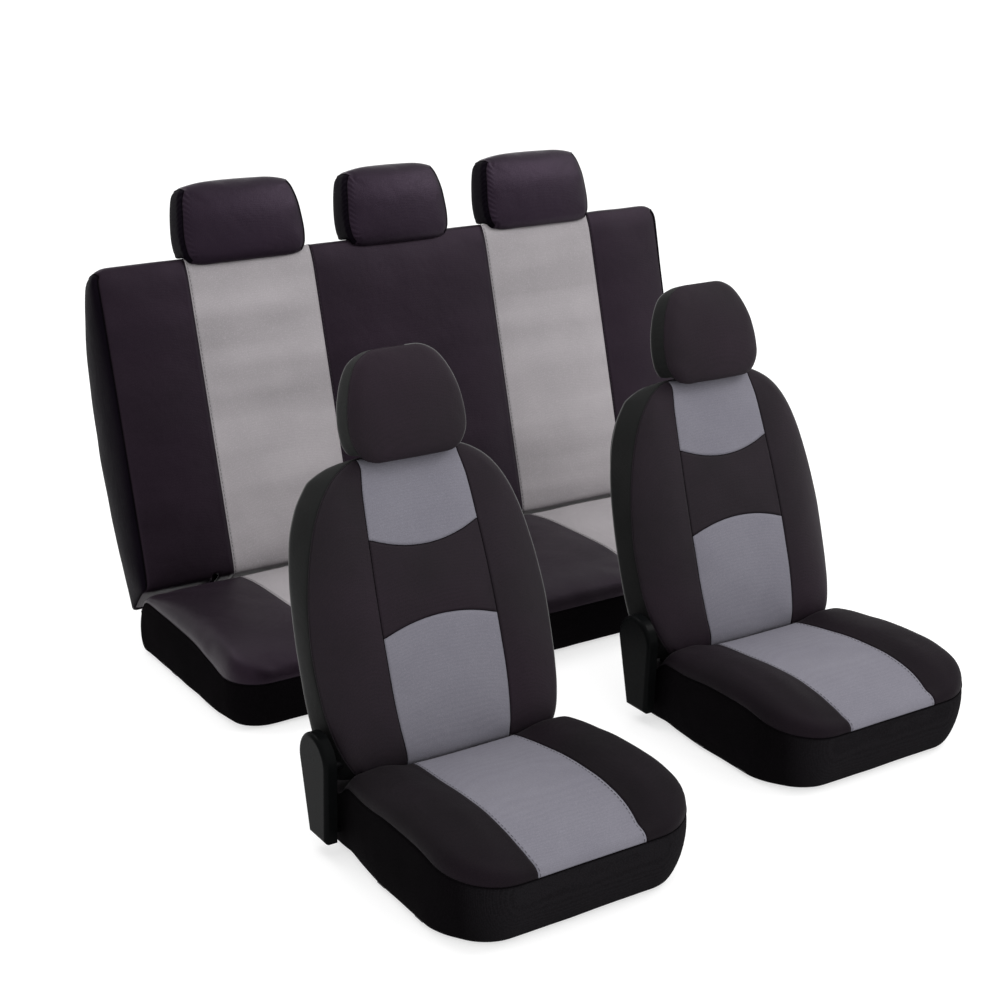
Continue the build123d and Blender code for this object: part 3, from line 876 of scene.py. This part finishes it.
# ---- cushions -----------------------------------------------------------------------------------
def cushion_shape(spec):
    """Grid, heights and rings of a cushion: crowned top, rolled edges, skirt down to the hem.

    The top cloth goes back to rear; from there a low deck runs on to tail, under the backrest's foot.
    """
    half, front, rear = spec["half"], spec["front"], spec["tail"]
    corner, rear_corner = spec["corner"], spec["rear_corner"]
    narrow = spec["narrow"]
    taper = curve([(0.05, 0.0), (0.10, 0.3 * narrow), (0.17, narrow)])
    tucked = curve([(front, spec["tuck"]), (front + 0.05, spec["tuck"]), (front + 0.13, 0.0)])

    def side(y):
        past_front = max(0.0, front + corner - y)
        past_rear = max(0.0, y - rear + rear_corner)
        if past_front:
            return half - corner + sqrt(max(0.0, corner ** 2 - past_front ** 2))
        return half - float(taper(y)) - rear_corner + sqrt(max(0.0, rear_corner ** 2 - past_rear ** 2))

    guides = [(front + CORNER_CUT * corner, rounded(half - corner, front, corner, 1)),
              (spec["rear"], level(spec["rear"])),
              (rear - CORNER_CUT * rear_corner, rounded(half - narrow - rear_corner, rear, rear_corner, -1))]
    top = grid_of(side, spec["seams"], spec["columns"], guides, spec["rows"])
    crown, bolster_end = curve(spec["crown"]), curve(spec["bolster_along"])
    bolster = curve(spec["bolster_across"])
    seam = curve(spec["seam_z"])

    def top_z(x, y):
        return crown(y) + bolster(np.abs(x)) * bolster_end(y)

    def hem(x, y):
        return np.full_like(x, HEM_Z)

    def towards_seam(share):
        return lambda edge, near: near + share * (seam(edge[:, 1]) - near)

    def down_skirt(share):
        return lambda edge, near: seam(edge[:, 1]) * (1 - share) + HEM_Z * share

    def under(share, inset):
        return lambda edge: inset + share * tucked(edge[:, 1])

    rings = [(spec["roll"], 0, 0.0), (spec["roll"] * 0.45, 0, towards_seam(0.12)),
             (spec["roll"] * 0.14, 0, towards_seam(0.42)), (0.0, 0, towards_seam(0.78)),
             (0.0015, 0, towards_seam(1.0)), (-0.001, 0, down_skirt(0.12)),
             (under(0.15, -0.003), 0, down_skirt(0.36)), (under(0.45, -0.003), 0, down_skirt(0.62)),
             (under(0.8, 0.0), 0, down_skirt(0.84)), (under(1.0, 0.004), 0, down_skirt(0.96)),
             (under(1.0, 0.011), 1, 1.0), (0.026 + spec["tuck"], 1, 1.0)]
    return top, top_z, hem, rings


SEAM_LAYER = 4           # the ring on which the top panel is sewn to the skirt


def cushion(name, spec):
    """One cushion cover in the seat's own frame: {panel: object}, and its whole mesh for the seams."""
    top, top_z, hem, rings = cushion_shape(spec)

    def panel_of(where, r, c, layer=0, at_front=False, at_rear=False):
        if where == "back":
            return "underside"
        if where == "band" and layer >= SEAM_LAYER:
            return "skirt"
        in_strip = in_pale(spec["columns"], c) and r < spec["rows"][0]
        return "strip" if in_strip and (where == "front" or at_front or at_rear) else "top"

    cover = Cover(top, top, top_z, hem, rings, False, panel_of)
    held_from = spec["rear"] - 0.004         # the deck behind the top isn't padded
    piece = cover.build(name)
    swell(piece, lambda v: v.z < spec["seam_low"] or v.y > held_from, spec["pressure"], spec["cap"])
    mesh = applied(piece, "SUBSURF", levels=1)
    ripple(mesh, 0.0011, 0.06, 3.0)
    return part_panels(piece, ("top", "strip", "skirt")), mesh


# ---- backrests and headrests --------------------------------------------------------------------
def upright_cover(name, spec):
    """A backrest or headrest cover in its upright frame: {panel: object}, and its whole mesh for the seams.

    The face's cloth turns over wrap rings at its ends and side_wrap rings at its sides, and the rear's
    cloth starts at the ring rear_from, with the gusset between them.
    """
    front = grid_of(spec["side"], spec["seams"], spec["columns"], spec["guides"], spec["rows"])
    back = grid_of(spec["back_side"], spec["seams"], spec["columns"], spec["back_guides"], spec["rows"])

    def panel_of(where, r, c, layer=0, at_foot=False, at_top=False):
        if where == "front":
            return spec["panel_at"](r, c)
        if where == "band" and layer < (spec["wrap"] if at_top or at_foot else spec["side_wrap"]):
            return spec["panel_at"](r, c)
        return "rear" if where == "back" or layer >= spec["rear_from"] else "gusset"

    cover = Cover(front, back, spec["front_y"], spec["back_y"], spec["rings"], True, panel_of)
    piece = cover.build(name)
    swell(piece, spec["held"], spec["pressure"], spec["cap"])
    mesh = applied(piece, "SUBSURF", levels=1)
    ripple(mesh, spec["ripple"], 0.07, 1.0)
    if "gathers" in spec:
        mesh = applied(piece, "SUBSURF", levels=1)
        gather(mesh, seam_chains(mesh, "face", "gusset"), *spec["gathers"])
    for middle in spec.get("slits", ()):
        slit(mesh, middle, spec["slit_top"])
    return part_panels(piece, [m.name for m in mesh.materials]), mesh


def right_of(runs, x):
    """The parts of seams that lie to the right of x."""
    kept = []
    for run in runs:
        part = []
        for point, normal in run:
            if point.x > x:
                part.append((point, normal))
            elif part:
                kept.append(part)
                part = []
        kept.append(part)
    return [part for part in kept if len(part) > 3]


# ---- the sizes of each cover --------------------------------------------------------------------
BUCKET_CUSHION = dict(
    half=0.252, front=-0.245, rear=0.170, tail=0.262, corner=0.108, rear_corner=0.03, roll=0.026,
    narrow=0.012, tuck=0.020,
    seams=[curve([(-0.245, 0.108), (-0.10, 0.117), (0.02, 0.117), (0.168, 0.107)])],
    columns=(11, 10), rows=(34, 8),
    crown=[(-0.253, 0.112), (-0.235, 0.130), (-0.20, 0.151), (-0.15, 0.167), (-0.08, 0.175), (-0.02, 0.174),
           (0.06, 0.167), (0.168, 0.153), (0.176, 0.147), (0.186, 0.124), (0.205, 0.110), (0.240, 0.109),
           (0.262, 0.111)],
    bolster_across=[(0.0, -0.002), (0.09, -0.001), (0.115, 0.0), (0.175, 0.013), (0.212, 0.012),
                    (0.252, 0.004)],
    bolster_along=[(-0.245, 0.25), (-0.18, 0.8), (-0.08, 1.0), (0.05, 1.0), (0.168, 0.95), (0.19, 0.3)],
    seam_z=[(-0.245, 0.121), (-0.18, 0.133), (-0.08, 0.150), (0.0, 0.151), (0.1, 0.142), (0.172, 0.137),
            (0.205, 0.112), (0.240, 0.106), (0.262, 0.105)],
    seam_low=0.10, pressure=4.0, cap=0.007,
)
BENCH_CUSHION = dict(
    half=0.780, front=-0.500, rear=-0.007, tail=0.035, corner=0.075, rear_corner=0.02, roll=0.024,
    narrow=0.0, tuck=0.010,
    seams=BENCH_SEAMS, columns=(14, 18, 13), rows=(30, 6),
    crown=[(-0.508, 0.108), (-0.485, 0.134), (-0.43, 0.158), (-0.33, 0.168), (-0.15, 0.166), (-0.018, 0.152),
           (-0.012, 0.149), (-0.004, 0.135), (0.006, 0.117), (0.020, 0.109), (0.035, 0.100)],
    bolster_across=[(0.0, 0.0), (0.2, 0.003), (0.24, 0.0), (0.4, 0.004), (0.555, 0.0), (0.68, 0.005),
                    (0.78, 0.0)],
    bolster_along=[(-0.5, 0.3), (-0.4, 1.0), (-0.1, 1.0), (-0.007, 0.4), (0.01, 0.0)],
    seam_z=[(-0.5, 0.104), (-0.43, 0.104), (-0.356, 0.118), (-0.255, 0.133), (-0.018, 0.137), (-0.006, 0.130),
            (0.012, 0.106), (0.035, 0.094)],
    seam_low=0.088, pressure=4.0, cap=0.007,
)


def bucket_back():
    """Backrest of a bucket seat: domed across, thinner at the top, round below the hinge."""
    side = curve([(-0.042, 0.200), (-0.01, 0.222), (0.02, 0.235), (0.06, 0.245), (0.12, 0.252), (0.20, 0.254),
                  (0.28, 0.247), (0.36, 0.232), (0.42, 0.214), (0.46, 0.195), (0.490, 0.174), (0.504, 0.160)])
    rear_side = curve([(-0.042, 0.246), (0.0, 0.253), (0.05, 0.254), (0.20, 0.254), (0.30, 0.251),
                       (0.40, 0.240), (0.46, 0.220), (0.504, 0.190)])
    insert = curve([(-0.04, 0.110), (0.12, 0.121), (0.205, 0.121), (0.386, 0.115), (0.534, 0.102)])
    relief = curve([(0.0, -0.001), (0.09, 0.0), (0.120, 0.002), (0.160, -0.001), (0.20, 0.005),
                    (0.232, 0.017), (0.25, 0.026)])
    ease = curve([(-0.04, 0.2), (0.04, 0.8), (0.12, 1.0), (0.40, 1.0), (0.48, 0.6), (0.534, 0.3)])
    front_line = curve([(-0.042, -0.010), (-0.032, -0.022), (-0.016, -0.031), (0.0, -0.035), (0.10, -0.037),
                        (0.20, -0.036), (0.30, -0.033), (0.40, -0.028), (0.47, -0.023), (0.515, -0.017),
                        (0.534, -0.009)])
    rear_line = curve([(-0.042, 0.026), (-0.02, 0.048), (0.02, 0.068), (0.14, 0.082), (0.30, 0.079),
                       (0.44, 0.066), (0.50, 0.057), (0.528, 0.049)])
    columns, rows = (10, 9), (16, 13, 12)

    def panel_at(r, c):
        if not in_pale(columns, c):
            return "bolsters"
        return "waist" if rows[0] <= r < rows[0] + rows[1] else "insert"

    return dict(
        side=side, seams=[insert], columns=columns, rows=rows,
        guides=[(-0.030, turned(-0.038, 0.003, 0.10, 0.19)), (0.205, arc(0.121, 0.205, 0.024)),
                (0.386, arc(0.115, 0.386, -0.028)), (0.504, turned(0.534, -0.030, 0.095, 0.160, 1.8))],
        back_side=rear_side,
        back_guides=[(-0.028, turned(-0.036, 0.002, 0.10, 0.19)), (0.205, level(0.205)),
                     (0.386, level(0.386)), (0.504, turned(0.528, -0.024, 0.115, 0.190, 1.8))],
        front_y=lambda x, z: front_line(z) + relief(np.abs(x)) * ease(z),
        back_y=lambda x, z: rear_line(z) - 0.010 * (np.abs(x) / 0.25) ** 3,
        rings=[(0.017, 0, 0.0), (0.0075, 0, 0.05), (0.0022, 0, 0.14), (0.0, 0.08, 0.26), (0.0, 0.34, 0.44),
               (0.0, 0.66, 0.66), (0.002, 0.92, 0.85), (0.009, 1, 0.96), (0.022, 1, 1.0)],
        panel_at=panel_at, wrap=2, side_wrap=2, rear_from=6, held=lambda v: v.z < -0.012 or v.z > 0.50,
        pressure=4.0, cap=0.008, ripple=0.0012, slits=(-0.2005, 0.2005), slit_top=(-0.022, -0.014),
    )


def bench_back():
    """Backrest of the bench: one flat face in five panels, square at the top, and a bowed rear."""
    corner, top, half = 0.034, 0.712, 0.780

    def side(z):
        past = min(max(0.0, z - (top - corner)), corner)
        return half - corner + sqrt(corner ** 2 - past ** 2)

    front_line = curve([(-0.03, -0.022), (0.0, -0.033), (0.06, -0.034), (0.66, -0.034), (0.695, -0.030),
                        (top, -0.022)])
    bow = curve([(-0.075, 0.088), (0.10, 0.131), (0.28, 0.149), (0.40, 0.146), (0.55, 0.114), (0.66, 0.060),
                 (top, 0.022)])
    puff = curve([(0.0, -0.004), (0.20, -0.003), (0.240, 0.0), (0.285, -0.002), (0.40, -0.003),
                  (0.51, -0.002), (0.555, 0.0), (0.62, -0.004), (0.74, -0.002), (half, 0.004)])

    columns = (12, 16, 11)
    return dict(
        side=side, seams=BENCH_SEAMS, columns=columns, rows=(44,),
        guides=[(-0.020, level(-0.020)),
                (top - CORNER_CUT * corner, rounded(half - corner, top, corner, -1))],
        back_side=lambda z: side(z) - 0.006,
        back_guides=[(-0.070, level(-0.070)), (0.697, rounded(0.774 - corner, 0.708, corner, -1))],
        front_y=lambda x, z: front_line(z) + puff(np.abs(x)),
        back_y=lambda x, z: bow(z) - 0.004 * (np.abs(x) / half) ** 4,
        rings=[(0.012, 0, 0.0), (0.004, 0, 0.03), (0.0, 0.02, 0.12), (-0.001, 0.25, 0.32),
               (-0.001, 0.5, 0.52), (0.0, 0.8, 0.75), (0.002, 1, 0.92), (0.012, 1, 1.0)],
        panel_at=lambda r, c: "strips" if in_pale(columns, c) else "panels", wrap=5, side_wrap=0,
        rear_from=8, held=lambda v: v.z < 0.0 or v.z > 0.685, pressure=4.0, cap=0.007, ripple=0.0012,
        slits=(-0.6025, 0.6025), slit_top=(-0.008, -0.008),
    )


def head_cover(half, lip, bottom, top, side_points, rear, wrap, side_wrap):
    """A headrest cover: rounded face, side gusset, and a lip that hangs ahead of the backrest.

    side_points are (height, half width) up its side, and rear is how far behind the posts it reaches.
    """
    side = curve(side_points)
    low_x, high_x = side_points[0][1], side_points[-1][1]
    low_z, high_z = side_points[0][0], side_points[-1][0]
    head = (high_z, turned(top, high_z - top, 0.48 * high_x, high_x))
    rear_rise = 0.3 * (low_z - lip)
    height = top - lip
    front_line = curve([(lip, -0.049), (lip + 0.2 * height, -0.057), (lip + 0.55 * height, -0.057),
                        (lip + 0.82 * height, -0.049), (top, -0.036)])
    rear_line = curve([(bottom, rear - 0.003), (bottom + 0.3 * height, rear), (top - 0.04, rear - 0.004),
                       (top, 0.020)])
    dome = lambda x: 0.010 * (np.abs(x) / half) ** 2.4
    return dict(
        side=side, seams=[], columns=(12,), rows=(18,), back_side=side,
        guides=[(low_z, turned(lip, low_z - lip, 0.72 * low_x, low_x)), head],
        back_guides=[(bottom + rear_rise, turned(bottom, rear_rise, 0.72 * low_x, low_x)), head],
        front_y=lambda x, z: front_line(z) + dome(x), back_y=lambda x, z: rear_line(z) - dome(x),
        rings=[(0.017, 0, 0.0), (0.008, 0, 0.05), (0.002, 0, 0.13), (0.0, 0.05, 0.19), (0.0, 1, 0.27),
               (0.0, 1, 0.45), (0.0, 1, 0.66), (0.003, 1, 0.84), (0.011, 1, 0.96), (0.024, 1, 1.0)],
        panel_at=lambda r, c: "face", wrap=wrap, side_wrap=side_wrap, rear_from=7,
        held=lambda v: v.z < bottom + 0.004, pressure=5.0, cap=0.006, ripple=0.0009,
    )


# ---- placing ------------------------------------------------------------------------------------
def frames(pivot, set_back, lean):
    """Frames of a seat's cushion, on the floor ahead of the hinge, and of its backrest, leaned back on it."""
    back = Matrix.Translation(pivot) @ Matrix.Rotation(-lean, 4, "X")
    return Matrix.Translation((pivot.x, pivot.y - set_back, 0.0)), back


def put_parts(prefix, parts, places):
    """Copies finished parts to one seat, with their bodies and the nodes they stand for."""
    for part in parts:
        matrix, body = places[part.place]
        twin = part.piece.copy()
        twin.data = part.piece.data.copy()
        twin.name = twin.data.name = f"{prefix}_{part.name}"
        scene.collection.objects.link(twin)
        twin.data.transform(matrix)
        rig.ride(twin, body)
        if part.nodes:
            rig.replaces(twin, *(f"{prefix}_{node}" for node in part.nodes))
        if isinstance(part.fill, dict):
            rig.sheet(twin, held="stretched", rests_on=[f"{prefix}_cushion_foam"], **part.fill)
        elif part.fill is not None:
            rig.padded(twin, fill=part.fill)


def discard(parts):
    """Removes the parts that were copied."""
    for part in parts:
        bpy.data.objects.remove(part.piece)


def cushion_parts(name, spec, top, centre, top_look, centre_look, skirt_look):
    """A cushion cover's parts; top and centre are the names of its two upper ones."""
    panels, mesh = cushion(name, spec)
    edge = seam_chains(mesh, "top", "skirt") + seam_chains(mesh, "strip", "skirt")
    skirt_cut = cut_of(panels["skirt"])
    return sewn(panels, "cushion", (
        ("top", top, top_look, ("cushion_cover", "cushion_foam"), SEAT_FILL),
        ("strip", centre, centre_look, ("cushion_insert",), SEAT_FILL),
        ("skirt", "side_skirt", skirt_look, ("skirt",), skirt_cut),
    )) + [welt("cushion_welt", "cushion", edge, PIPE_R, "skirt"),
          stitches("cushion_stitches", "cushion", seam_chains(mesh, "top", "strip"))]


def head_parts(name, spec, face_look, gusset_look):
    """A headrest cover's panels as parts, and its whole mesh for the seams."""
    panels, mesh = upright_cover(name, spec)
    return sewn(panels, "head", (
        ("face", "head_face", face_look, ("head_cover", "head_foam"), HEAD_FILL),
        ("gusset", "head_gusset", gusset_look, (), HEAD_FILL),
        ("rear", "head_rear", gusset_look, (), HEAD_FILL),
    )), mesh


def bucket_back_parts():
    """A bucket backrest cover's parts."""
    panels, mesh = upright_cover("bucket_back", bucket_back())
    edge = seam_chains(mesh, "bolsters", "gusset") + seam_chains(mesh, "insert", "gusset")
    insert = seam_chains(mesh, "bolsters", "insert") + seam_chains(mesh, "insert", "waist")
    waist = seam_chains(mesh, "bolsters", "waist")
    return sewn(panels, "back", (
        ("bolsters", "back_bolsters", "charcoal", ("back_cover", "back_foam"), SEAT_FILL),
        ("waist", "back_waist", "charcoal", (), SEAT_FILL),
        ("insert", "back_inserts", "grey", ("back_insert",), SEAT_FILL),
        ("gusset", "back_gusset", "gusset", (), SEAT_FILL),
        ("rear", "back_rear", "gusset", (), SEAT_FILL),
    )) + [welt("back_welt", "back", edge, PIPE_R * 0.8, "charcoal"),
          # painted highlight: real piping, painted pale on the right of the face seam and along the rear seam as light
          # catching the outline
          welt("back_side_welt", "back", right_of(edge, 0.03), PIPE_R, "welt"),
          welt("back_rear_welt", "back", seam_chains(mesh, "gusset", "rear"), PIPE_R, "welt"),
          welt("back_seam", "back", waist + insert, SEAM_R, "skirt")]


def bucket_head_parts():
    """A bucket headrest cover's parts."""
    points = [(0.524, 0.096), (0.540, 0.110), (0.565, 0.120), (0.590, 0.121), (0.625, 0.117), (0.660, 0.107),
              (0.686, 0.095), (0.703, 0.083)]
    spec = head_cover(0.121, 0.516, 0.535, 0.722, points, 0.036, 3, 3)
    parts, mesh = head_parts("bucket_head", spec, "charcoal", "gusset")
    edge = seam_chains(mesh, "face", "gusset")
    return parts + [welt("head_welt", "head", edge, PIPE_R * 0.8, "charcoal"),
                    # painted highlight: real piping, painted pale on the right of the face seam and along the rear
                    # seam as light catching the outline
                    welt("head_side_welt", "head", right_of(edge, 0.02), PIPE_R, "welt"),
                    welt("head_rear_welt", "head", seam_chains(mesh, "gusset", "rear"), PIPE_R, "welt")]


def bucket_seats():
    """The covers of both bucket seats: made once, placed twice."""
    parts = cushion_parts("bucket_cushion", BUCKET_CUSHION, "cushion_bolsters", "cushion_centre",
                          "charcoal_seat", "grey", "front_skirt")
    parts += bucket_back_parts() + bucket_head_parts()
    for seat in BUCKETS:
        floor, back = frames(HINGES[f"{seat}_recline"], BUCKET_PIVOT, BUCKET_LEAN)
        put_parts(seat, parts, {"cushion": (floor, "seat_bases"), "back": (back, f"{seat}_backrest"),
                                "head": (back, f"{seat}_headrest")})
    discard(parts)


def bench():
    """The covers of the bench and its three headrests."""
    pivot = HINGES["rear_back_fold"]
    floor, back = frames(pivot, BENCH_PIVOT, BENCH_LEAN)
    parts = cushion_parts("bench_cushion", BENCH_CUSHION, "cushion_panels", "cushion_strips",
                          "plum", "light_grey", "skirt")
    panels, mesh = upright_cover("bench_back", bench_back())
    edge = seam_chains(mesh, "panels", "gusset") + seam_chains(mesh, "strips", "gusset")
    parts += sewn(panels, "back", (
        ("panels", "back_panels", "plum", ("back_cover", "back_foam"), SEAT_FILL),
        ("strips", "back_strips", "light_grey", ("back_insert",), SEAT_FILL),
        ("gusset", "back_gusset", "plum_gusset", (), SEAT_FILL),
        ("rear", "back_rear", "plum_gusset", (), SEAT_FILL),
    ))
    parts += [welt("back_welt", "back", edge, PIPE_R, "skirt"),
              stitches("back_stitches", "back", seam_chains(mesh, "panels", "strips"))]
    put_parts("rear", parts, {"cushion": (floor, "seat_bases"), "back": (back, "rear_backrest")})
    discard(parts)
    bench_heads(back, pivot.x)


def bench_heads(back, middle_x):
    """The bench's headrests: the outer two alike, the middle one narrower."""
    heads = {}
    for kind, half in (("outer", 0.158), ("middle", 0.143)):
        points = [(0.696, half - 0.016), (0.715, half - 0.004), (0.750, half), (0.800, half - 0.004),
                  (0.850, half - 0.014), (0.868, half - 0.025)]
        spec = head_cover(half, 0.689, 0.711, 0.879, points, 0.046, 7, 1)
        spec["gathers"] = (0.022, 0.013, 0.0009)
        parts, mesh = head_parts(f"bench_head_{kind}", spec, "plum_satin", "plum_gusset")
        edge = seam_chains(mesh, "face", "gusset")
        heads[kind] = parts + [welt("head_welt", "head", edge, PIPE_R * 0.7, "skirt")]
    for seat, kind in (("rear_left", "outer"), ("rear_middle", "middle"), ("rear_right", "outer")):
        low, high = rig.box(f"{seat}_head_cover")
        aside = Matrix.Translation(((low.x + high.x) / 2 - middle_x, 0, 0))
        put_parts(seat, heads[kind], {"head": (back @ aside, f"{seat}_headrest")})
    for parts in heads.values():
        discard(parts)


def dress_cad_nodes():
    """Finished materials for the CAD nodes that stay in view."""
    for name, node in frame["nodes"].items():
        for part, look in CAD_LOOK.items():
            if name.endswith(part):
                node.data.materials.clear()
                node.data.materials.append(MATERIAL[look])


# ---- floor, light and camera --------------------------------------------------------------------
def studio():
    """Plain pale floor, a sky that is brightest at the camera's right, and two soft lamps above."""
    bpy.ops.mesh.primitive_plane_add(size=120, location=(0, 0, 0))
    floor = bpy.context.object
    floor.name = "floor"
    paint = Nodes.material("pale_floor")
    paint.set(Base_Color=(0.45, 0.45, 0.45, 1.0), Emission_Color=(1.0, 1.0, 1.0, 1.0), Emission_Strength=0.62,
              Roughness=0.9, Specular_IOR_Level=0.1)
    floor.data.materials.append(paint.owner)
    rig.stage(floor)
    scene.world = bpy.data.worlds.new("studio")
    sky = Nodes(scene.world, "Background", "Generated")
    sky.set(Color=(1.0, 1.0, 1.0, 1.0))
    brightness = sky.ramp(sky.towards(sky.place, Vector(BRIGHT_SKY).normalized()), -1.0, 1.0, *SKY)
    sky.join(brightness, sky.shader.inputs["Strength"])
    softbox("key", (2.6, -1.6, 3.4), (0.0, 0.0, 0.5), 1.6, 60)
    softbox("top", (-1.2, 1.6, 3.4), (0.0, 0.4, 0.8), 1.6, 30)


def softbox(name, place, aim, size, watts):
    """A square area light at place, turned towards aim."""
    light = bpy.data.lights.new(name, "AREA")
    light.size = size
    light.energy = watts
    lamp = bpy.data.objects.new(name, light)
    lamp.location = place
    lamp.rotation_euler = (Vector(aim) - Vector(place)).to_track_quat("-Z", "Y").to_euler()
    scene.collection.objects.link(lamp)


def camera():
    """The view from the front left, from a little above the seats."""
    lens = bpy.data.cameras.new("camera")
    lens.lens = 65.8
    lens.sensor_width = 36
    eye = bpy.data.objects.new("camera", lens)
    eye.location = (-2.125, -3.057, 1.672)
    eye.rotation_euler = Euler((radians(71.14), 0, radians(-32.75)))
    scene.collection.objects.link(eye)
    scene.camera = eye
    scene.view_settings.view_transform = "Standard"


camera()
studio()
bucket_seats()
bench()
dress_cad_nodes()
visual_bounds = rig.bounds()
with open("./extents.json", "w") as out:
    json.dump({"cad": [list(v) for v in cad_bounds], "visual": [list(v) for v in visual_bounds]}, out)
